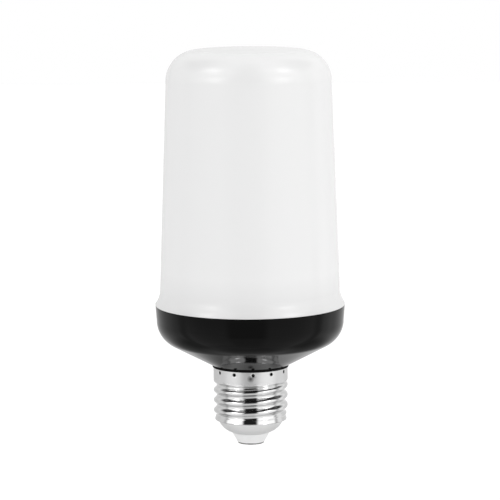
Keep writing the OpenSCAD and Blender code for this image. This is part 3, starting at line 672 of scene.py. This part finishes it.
class BULB_OT_housing(bpy.types.Operator):
    """Mould the black housing with its conical underside, lip, neck and screw bosses"""

    bl_idname = "bulb.housing"
    bl_label = "Housing"

    def execute(self, context):
        s, cap = context.scene.bulb_housing, context.scene.bulb_cap
        cover = context.scene.bulb_diffuser
        lip_r, lip_z = cap.collar_r + s.lip_w, RIM_Z + s.lip_h
        side_r = SEAM_R - s.side_draft
        corner = (side_r - s.corner_r, SEAM_Z - s.side_h)
        turn = s.cone_angle - math.pi / 2
        seat_r = side_r - s.wall
        neck_r = cap.collar_r - cap.wall - FIT
        chimney_r, chimney_z = s.neck_bore_r + s.chimney_wall, lip_z + s.chimney_h
        groove_r, bead_z, reach = seat_r + cover.bead_h, SEAM_Z - cover.bead_drop, BEAD_SLOPE + 0.15 * MM
        lip_low_round, lip_top_round, brim_round = 0.1 * MM, 0.12 * MM, 0.22 * MM
        sweep = arc(corner, s.corner_r, turn, 0, 36)
        lip_low, lip_top = (lip_r, RIM_Z), (lip_r, lip_z)
        section = [
            (s.neck_bore_r, NECK_Z), (s.neck_low_r, NECK_Z), (s.neck_low_r, s.neck_step_z),
            (neck_r, s.neck_step_z + neck_r - s.neck_low_r), (neck_r, RIM_Z),
        ]
        section += rounded(lip_low, (neck_r, RIM_Z), lip_top, lip_low_round)
        section += rounded(lip_top, lip_low, sweep[0], lip_top_round)
        section += sweep
        section += rounded((SEAM_R, SEAM_Z), sweep[-1], (seat_r, SEAM_Z), brim_round)
        section += [
            (seat_r, SEAM_Z), (seat_r, bead_z + reach + BEAD_SLOPE), (groove_r, bead_z + reach),
            (groove_r, bead_z - reach), (seat_r, bead_z - reach - BEAD_SLOPE),
        ]
        inside = arc(corner, s.corner_r - s.wall, 0, turn, 18)
        foot = inside[-1][1] - (inside[-1][0] - chimney_r) * math.tan(s.cone_angle)
        section += inside + [(chimney_r, foot), (chimney_r, chimney_z), (s.neck_bore_r, chimney_z)]
        mesh = spun(section, 192)
        mesh = self.cut(mesh, self.bosses(s, lip_r, lip_z), "UNION")
        mesh = self.cut(mesh, self.cavities(s, cap, neck_r), "DIFFERENCE")
        black = polished_black_polycarbonate(list(s.tint))
        # Black polycarbonate that its own ring in the mould leaves matt: it stays black from every side
        matt = fine_finish(
            "matt_black_polycarbonate", "#0A0A0A", 0.4, bump_mm=0.02, Roughness=0.7,
            Specular_IOR_Level=0.08,
        )
        # The lip, with a hair's room, and not what lies inside the screw shell
        matt_r, matt_z = cap.collar_r - cap.wall, lip_z + 0.01 * MM
        for face in mesh.faces:
            middle = face.calc_center_median()
            face.material_index = int(middle.z < matt_z and middle.xy.length > matt_r)
        piece("black_housing_bowl", mesh, [black, matt], "housing")
        return {"FINISHED"}

    def bosses(self, s, lip_r, lip_z):
        """The three screw bosses, from inside the conical wall up to the foot of the LED core."""
        mesh = bmesh.new()
        # Each boss starts as a 20 mm blank, whose lower end is then sloped to lie inside the wall
        top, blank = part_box("led_core")[0].z, 20 * MM
        for turn in BOSS_TURNS:
            place = Matrix.Rotation(turn, 4, "Z") @ Matrix.Translation((s.boss_ring_r, 0, top - blank / 2))
            ends = bmesh.ops.create_cone(
                mesh, cap_ends=True, segments=32, radius1=s.boss_r, radius2=s.boss_r, depth=blank,
                matrix=place,
            )["verts"]
            for vert in ends:
                if vert.co.z < top - blank / 2:
                    reach = math.hypot(vert.co.x, vert.co.y)
                    vert.co.z = lip_z + (reach - lip_r) * math.tan(s.cone_angle) + s.wall / 2
        return mesh

    def cavities(self, s, cap, neck_r):
        """What is taken out of the housing: pilot holes, board grooves, punch pits and the wire's slot."""
        mesh = bmesh.new()
        # The pilot holes end just below the screws' tips
        low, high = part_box("core_screws")[0].z - 0.3 * MM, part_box("led_core")[0].z + MM
        for turn in BOSS_TURNS:
            bmesh.ops.create_cone(
                mesh, cap_ends=True, segments=24, radius1=s.boss_hole_r, radius2=s.boss_hole_r,
                depth=high - low,
                matrix=Matrix.Rotation(turn, 4, "Z")
                @ Matrix.Translation((s.boss_ring_r, 0, (low + high) / 2)),
            )
        # The board's grooves run on past the top of the inner collar
        board_low, board_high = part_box("driver_board")
        groove_h = 60 * MM
        size = Vector((
            board_high.x - board_low.x + 2 * FIT, board_high.y - board_low.y + 2 * FIT, groove_h,
        ))
        middle = Vector((0, (board_low.y + board_high.y) / 2, board_low.z + size.z / 2))
        bmesh.ops.create_cube(mesh, size=1, matrix=Matrix.Translation(middle) @ Matrix.Diagonal((*size, 1)))
        depth, pit_r = 0.6 * MM, cap.punch_w / 2 + FIT
        first, pitch = cap.punch_turn - math.pi / 2, 2 * math.pi / cap.punches
        for k in range(cap.punches):
            middle = neck_r - cap.punch_depth - FIT + depth / 2
            bmesh.ops.create_cone(
                mesh, cap_ends=True, segments=20, radius1=pit_r, radius2=pit_r, depth=depth,
                matrix=Matrix.Rotation(first + pitch * k, 4, "Z")
                @ Matrix.Translation((middle, 0, RIM_Z - cap.punch_drop))
                @ Matrix.Rotation(math.pi / 2, 4, "Y"),
            )
        # The neutral wire's slot, midway between the fifth and the sixth punch
        wire_r, room = 0.45 * MM, 0.3 * MM
        turn = first + 4.5 * pitch
        inner = s.neck_low_r - room - 2 * wire_r - 4 * FIT
        bottom, top = NECK_Z - MM, RIM_Z - s.lip_h
        size = Vector((cap.collar_r, 2 * wire_r + 4 * FIT, top - bottom))
        middle = Vector((inner + size.x / 2, 0, (bottom + top) / 2))
        bmesh.ops.create_cube(
            mesh, size=1,
            matrix=Matrix.Rotation(turn, 4, "Z") @ Matrix.Translation(middle) @ Matrix.Diagonal((*size, 1)),
        )
        return mesh

    def cut(self, mesh, tool, operation):
        """The mesh with the tool joined to it or taken out of it."""
        pair = []
        for name, shape in (("moulding", mesh), ("tool", tool)):
            data = bpy.data.meshes.new(name)
            shape.to_mesh(data)
            shape.free()
            made = bpy.data.objects.new(name, data)
            bpy.context.scene.collection.objects.link(made)
            pair.append(made)
        change = pair[0].modifiers.new(operation, "BOOLEAN")
        change.object, change.operation, change.solver = pair[1], operation, "EXACT"
        graph = bpy.context.evaluated_depsgraph_get()
        result = bmesh.new()
        result.from_object(pair[0], graph)
        for made in pair:
            data = made.data
            bpy.data.objects.remove(made)
            bpy.data.meshes.remove(data)
        return result


# Inner parts


def paint(material, *names):
    """Give CAD nodes their material."""
    for name in names:
        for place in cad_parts[name].material_slots:
            place.material = material


def ringed(material, inner_mm, outer_mm, hex_colour):
    """Colour a ring between two distances from the bulb's axis, such as the phosphor in the LED windows."""
    tree = material.node_tree
    shader = tree.nodes["Principled BSDF"]
    ground = shader.inputs["Base Color"].links[0].from_socket
    place = add(tree, "ShaderNodeTexCoord").outputs["Object"]
    flat = add(tree, "ShaderNodeVectorMath", {0: place, 1: (1, 1, 0)}, operation="MULTIPLY")
    radius = add(tree, "ShaderNodeVectorMath", {0: flat.outputs[0]}, operation="LENGTH")
    within = add(
        tree, "ShaderNodeMath",
        {0: radius.outputs["Value"], 1: (inner_mm + outer_mm) / 2 * MM, 2: (outer_mm - inner_mm) / 2 * MM},
        operation="COMPARE",
    )
    mix = add(
        tree, "ShaderNodeMix", {"Factor": within.outputs[0], 6: ground, 7: linear(hex_colour)},
        data_type="RGBA",
    )
    tree.links.new(mix.outputs[2], shader.inputs["Base Color"])
    return material


class BULB_OT_led_core(bpy.types.Operator):
    """Finish the LED core, its boards, LED packages and screws"""

    bl_idname = "bulb.led_core"
    bl_label = "LED Core"

    def execute(self, context):
        # Moulded ABS tube: plain off-white with a dull mould texture
        paint(fine_finish("moulded_abs_core", "#E9E9E6", 0.8, spread=0.015, Roughness=0.5), "led_core")
        # Zinc-plated steel: grey, slightly uneven passivation
        paint(fine_finish("zinc_plated_steel", "#9C9DA0", 0.7, Metallic=1.0, Roughness=0.32), "core_screws")
        # Polyimide film under a white solder mask: chalky, faintly pitted
        paint(fine_finish("white_masked_film", "#EEECE6", 0.3, spread=0.01, Roughness=0.55), "wrap_board")
        # Glass laminate under a white solder mask, with its weave just showing at 0.5 mm
        laminate = fine_finish("white_masked_laminate", "#EDEDEA", 0.5, spread=0.015, Roughness=0.45)
        paint(laminate, "top_board")
        # Moulded white LED packages: their yellow phosphor lies in windows 21 to 21.12 mm from the axis
        package = fine_finish("led_package_side_view", "#F0EEE6", 0.4, spread=0.01, Roughness=0.4)
        columns = [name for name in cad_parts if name.startswith("led_column_")]
        paint(ringed(package, 21.0, 21.12, "#E3B23C"), *columns)
        # The same packages facing upwards: their windows lie 11.2 to 12.8 mm from the axis
        upward = fine_finish("led_package_top_view", "#F0EEE6", 0.4, spread=0.01, Roughness=0.4)
        paint(ringed(upward, 11.2, 12.8, "#E3B23C"), "top_leds")
        return {"FINISHED"}


class BULB_OT_driver(bpy.types.Operator):
    """Finish the driver board and its parts"""

    bl_idname = "bulb.driver"
    bl_label = "Driver"

    def execute(self, context):
        # Glass laminate under green solder mask, weave at 0.5 mm
        paint(fine_finish("green_masked_laminate", "#2F7A44", 0.5, Roughness=0.38), "driver_board")
        # Moulded epoxy: charcoal, matt from the mould's spark-eroded face
        epoxy = fine_finish("moulded_black_epoxy", "#242426", 0.25, Roughness=0.6)
        paint(epoxy, "controller_chip", "bridge_rectifier", "driver_chip", "chip_resistors")
        # Shrunk PVC film over an aluminium can: dark blue, shiny
        film = fine_finish("shrunk_pvc_sleeve", "#1B2140", 1.5, spread=0.03, Roughness=0.22)
        paint(film, "bulk_capacitor", "output_capacitor")
        # Enamelled copper, 0.3 mm wire: reddish brown, glossy
        copper = fine_finish("enamelled_copper", "#8A4A24", 0.3, spread=0.2, Metallic=0.6, Roughness=0.3)
        paint(copper, "choke")
        # Dipped epoxy: ochre, thick and glossy
        paint(fine_finish("dipped_epoxy", "#B38F2E", 2.0, Roughness=0.25), "film_capacitor")
        # Coated ceramic: tan, dull
        paint(fine_finish("coated_ceramic", "#A98860", 0.5, Roughness=0.5), "fusible_resistor")
        # Heat-shrunk polyolefin: black, wrinkled at 1 mm, dull
        sleeve = fine_finish("heat_shrunk_polyolefin", "#262626", 1.0, bump_mm=0.05, Roughness=0.55)
        paint(sleeve, "resistor_sleeve")
        return {"FINISHED"}


class BULB_OT_wires(bpy.types.Operator):
    """Finish the wires"""

    bl_idname = "bulb.wires"
    bl_label = "Wires"

    def execute(self, context):
        # Tinned copper: silvery, dull in patches 0.5 mm across
        tinned = fine_finish(
            "tinned_copper_wire", "#C9C2B4", 0.5, spread=0.08, Metallic=1.0, Roughness=0.35
        )
        paint(tinned, "link_wires", "neutral_wire")
        # Silicone rubber insulation: red, soft and dull, slightly dusty
        silicone = fine_finish("red_silicone_rubber", "#A5281F", 0.4, Roughness=0.62)
        paint(silicone, "supply_wires")
        return {"FINISHED"}


# Stage

# What the glossy pieces see of the studio: brightness, azimuths (to the right of the front is positive),
# elevations and softness in degrees. A later entry covers an earlier one. In order: the grey backdrop and
# its upper part, the lighter lower half, a glow on each side, the low and the high softboxes, a seam down
# each side, dark patches behind the softboxes, the dim lower back, the table below, the tent's lower front
# in two parts and the dark opening for the camera.
STUDIO = [
    (0.78, (-200, -120), (-22, 20), 6),
    (0.85, (120, 200), (-22, 20), 6),
    (0.85, (-200, -155), (14, 75), 8),
    (0.85, (155, 200), (14, 75), 8),
    (1.25, (-100, 100), (-55, -12), 6),
    (1.5, (-88, -22), (4, 60), 8),
    (1.5, (22, 88), (4, 60), 8),
    (5.0, (-58, -43), (10, 26), 5),
    (5.0, (41, 56), (10, 26), 5),
    (6.5, (-78, -57), (41, 53), 6),
    (6.5, (55, 75), (41, 53), 6),
    (0.65, (-98, -86), (-60, 30), 5),
    (0.65, (86, 98), (-60, 30), 5),
    (0.06, (-140, -89), (32, 62), 7),
    (0.06, (87, 140), (32, 62), 7),
    (0.35, (-200, -95), (-62, -33), 10),
    (0.35, (95, 165), (-62, -33), 10),
    (0.35, (176, 200), (-62, -33), 6),
    (0.6, (-200, 200), (-100, -70), 8),
    (0.85, (-28, 20), (-75, -28), 8),
    (0.5, (-28, 20), (-28, 3), 6),
    (0.02, (-27, 21), (5, 120), 6),
]


class BULB_OT_stage(bpy.types.Operator):
    """Set up the camera, the white studio with what it shows in reflections, and the floor"""

    bl_idname = "bulb.stage"
    bl_label = "Stage"

    def execute(self, context):
        s = context.scene.bulb_stage
        self.camera(context, s)
        self.world(context.scene, s)
        self.floor(s)
        context.scene.view_settings.view_transform = "Standard"
        return {"FINISHED"}

    def camera(self, context, s):
        """The camera of the photograph."""
        data = bpy.data.cameras.new("camera")
        data.lens, data.sensor_width, data.sensor_fit = s.lens, s.sensor, "HORIZONTAL"
        made = bpy.data.objects.new("camera", data)
        made.matrix_world = (
            Matrix.Translation((s.camera_offset, -s.camera_distance, s.camera_height))
            @ Matrix.Rotation(math.pi / 2 - s.tilt, 4, "X") @ Matrix.Rotation(s.roll, 4, "Z")
        )
        context.scene.collection.objects.link(made)
        context.scene.camera = made

    def world(self, scene, s):
        """A white studio, a little dimmer on the left. Only reflections see what STUDIO lists."""
        world = bpy.data.worlds.new("white_studio")
        world.use_nodes = True
        scene.world = world
        # The light path decides what a ray sees, so the light is only found by the rays themselves
        world.cycles.sampling_method = "NONE"
        tree = world.node_tree
        tree.nodes.clear()
        way = add(tree, "ShaderNodeSeparateXYZ", {0: add(tree, "ShaderNodeTexCoord").outputs["Generated"]})
        front = add(tree, "ShaderNodeMath", {0: way.outputs["Y"], 1: -1.0}, operation="MULTIPLY")
        azimuth = add(
            tree, "ShaderNodeMath", {0: way.outputs["X"], 1: front.outputs[0]}, operation="ARCTAN2"
        )
        elevation = add(tree, "ShaderNodeMath", {0: way.outputs["Z"]}, operation="ARCSINE")
        level = add(
            tree, "ShaderNodeMapRange",
            {"Value": way.outputs["X"], "From Min": -1.0, "From Max": 1.0,
             "To Min": s.left_level, "To Max": s.right_level},
        ).outputs["Result"]
        seen = level
        for patch in STUDIO:
            seen = self.patch(tree, seen, azimuth.outputs[0], elevation.outputs[0], *patch)
        path = add(tree, "ShaderNodeLightPath").outputs
        lit = add(tree, "ShaderNodeMix", {0: path["Is Glossy Ray"], 2: level, 3: seen}, data_type="FLOAT")
        plain = add(
            tree, "ShaderNodeMath", {0: path["Is Camera Ray"], 1: path["Is Transmission Ray"]},
            operation="MAXIMUM",
        )
        strength = add(
            tree, "ShaderNodeMix", {0: plain.outputs[0], 2: lit.outputs[0], 3: 1.0}, data_type="FLOAT"
        )
        light = add(tree, "ShaderNodeBackground", {"Color": (1, 1, 1, 1), "Strength": strength.outputs[0]})
        add(tree, "ShaderNodeOutputWorld", {"Surface": light.outputs[0]})

    def patch(self, tree, seen, azimuth, elevation, level, sides, heights, soft):
        """A level in place of what is seen, between azimuths and elevations in degrees, with soft edges."""
        share = 1.0
        for value, (low, high) in ((azimuth, sides), (elevation, heights)):
            for edge, rises in ((low, 1.0), (high, 0.0)):
                step = add(
                    tree, "ShaderNodeMapRange",
                    {"Value": value, "From Min": math.radians(edge - soft),
                     "From Max": math.radians(edge + soft), "To Min": 1.0 - rises, "To Max": rises},
                    interpolation_type="SMOOTHSTEP",
                )
                share = add(
                    tree, "ShaderNodeMath", {0: share, 1: step.outputs["Result"]}, operation="MULTIPLY"
                ).outputs[0]
        return add(tree, "ShaderNodeMix", {0: share, 2: seen, 3: level}, data_type="FLOAT").outputs[0]

    def floor(self, s):
        """A pale floor below the hanging bulb, which shows white to the camera and keeps the shadow."""
        mesh = bmesh.new()
        bmesh.ops.create_grid(
            mesh, x_segments=1, y_segments=1, size=s.floor_size,
            matrix=Matrix.Translation((0, 0, -s.floor_drop)),
        )
        data = bpy.data.meshes.new("floor")
        mesh.to_mesh(data)
        mesh.free()
        # Painted board: matt, pale, with a faint mottle 30 mm across
        material, tree, shader = new_material("matt_painted_board", Roughness=0.9)
        place = add(tree, "ShaderNodeTexCoord").outputs["Object"]
        mottle = add(tree, "ShaderNodeTexNoise", {"Vector": place, "Scale": 1 / (30 * MM)})
        low, high = shades(list(s.floor), 0.005)
        mix = add(
            tree, "ShaderNodeMix", {"Factor": mottle.outputs["Fac"], 6: low, 7: high}, data_type="RGBA"
        )
        tree.links.new(mix.outputs[2], shader.inputs["Base Color"])
        path = add(tree, "ShaderNodeLightPath").outputs
        seen = add(
            tree, "ShaderNodeMath", {0: path["Is Camera Ray"], 1: path["Is Transmission Ray"]},
            operation="MAXIMUM",
        )
        lift = add(tree, "ShaderNodeMath", {0: seen.outputs[0], 1: s.floor_lift}, operation="MULTIPLY")
        shader.inputs["Emission Color"].default_value = (1, 1, 1, 1)
        tree.links.new(lift.outputs[0], shader.inputs["Emission Strength"])
        data.materials.append(material)
        made = bpy.data.objects.new("floor", data)
        made.visible_glossy = False
        bpy.context.scene.collection.objects.link(made)


PIECES = [
    BULB_OT_stage, BULB_OT_diffuser, BULB_OT_housing, BULB_OT_screw_shell, BULB_OT_cap_end,
    BULB_OT_led_core, BULB_OT_driver, BULB_OT_wires,
]
SETTINGS = {
    "bulb_diffuser": DiffuserSettings, "bulb_housing": HousingSettings, "bulb_cap": CapSettings,
    "bulb_stage": StageSettings,
}


class BULB_PT_panel(bpy.types.Panel):
    """The bulb's settings and a button for each piece"""

    bl_label = "Flame Effect LED Bulb"
    bl_idname = "BULB_PT_panel"
    bl_space_type = "VIEW_3D"
    bl_region_type = "UI"
    bl_category = "Bulb"

    def draw(self, context):
        for operator in PIECES:
            self.layout.operator(operator.bl_idname)
        for name, group in SETTINGS.items():
            box = self.layout.box()
            box.label(text=group.bl_rna.name)
            for prop in group.__annotations__:
                box.prop(getattr(context.scene, name), prop)


def register():
    for group in (*SETTINGS.values(), *PIECES, BULB_PT_panel):
        bpy.utils.register_class(group)
    for name, group in SETTINGS.items():
        setattr(bpy.types.Scene, name, PointerProperty(type=group))


def unregister():
    for name in SETTINGS:
        delattr(bpy.types.Scene, name)
    for group in (BULB_PT_panel, *reversed(PIECES), *reversed(SETTINGS.values())):
        bpy.utils.unregister_class(group)


def main():
    register()
    bpy.ops.bulb.stage()
    bpy.ops.bulb.diffuser()
    bpy.ops.bulb.housing()
    bpy.ops.bulb.screw_shell()
    bpy.ops.bulb.cap_end()
    bpy.ops.bulb.led_core()
    bpy.ops.bulb.driver()
    bpy.ops.bulb.wires()


if __name__ == "__main__":
    main()
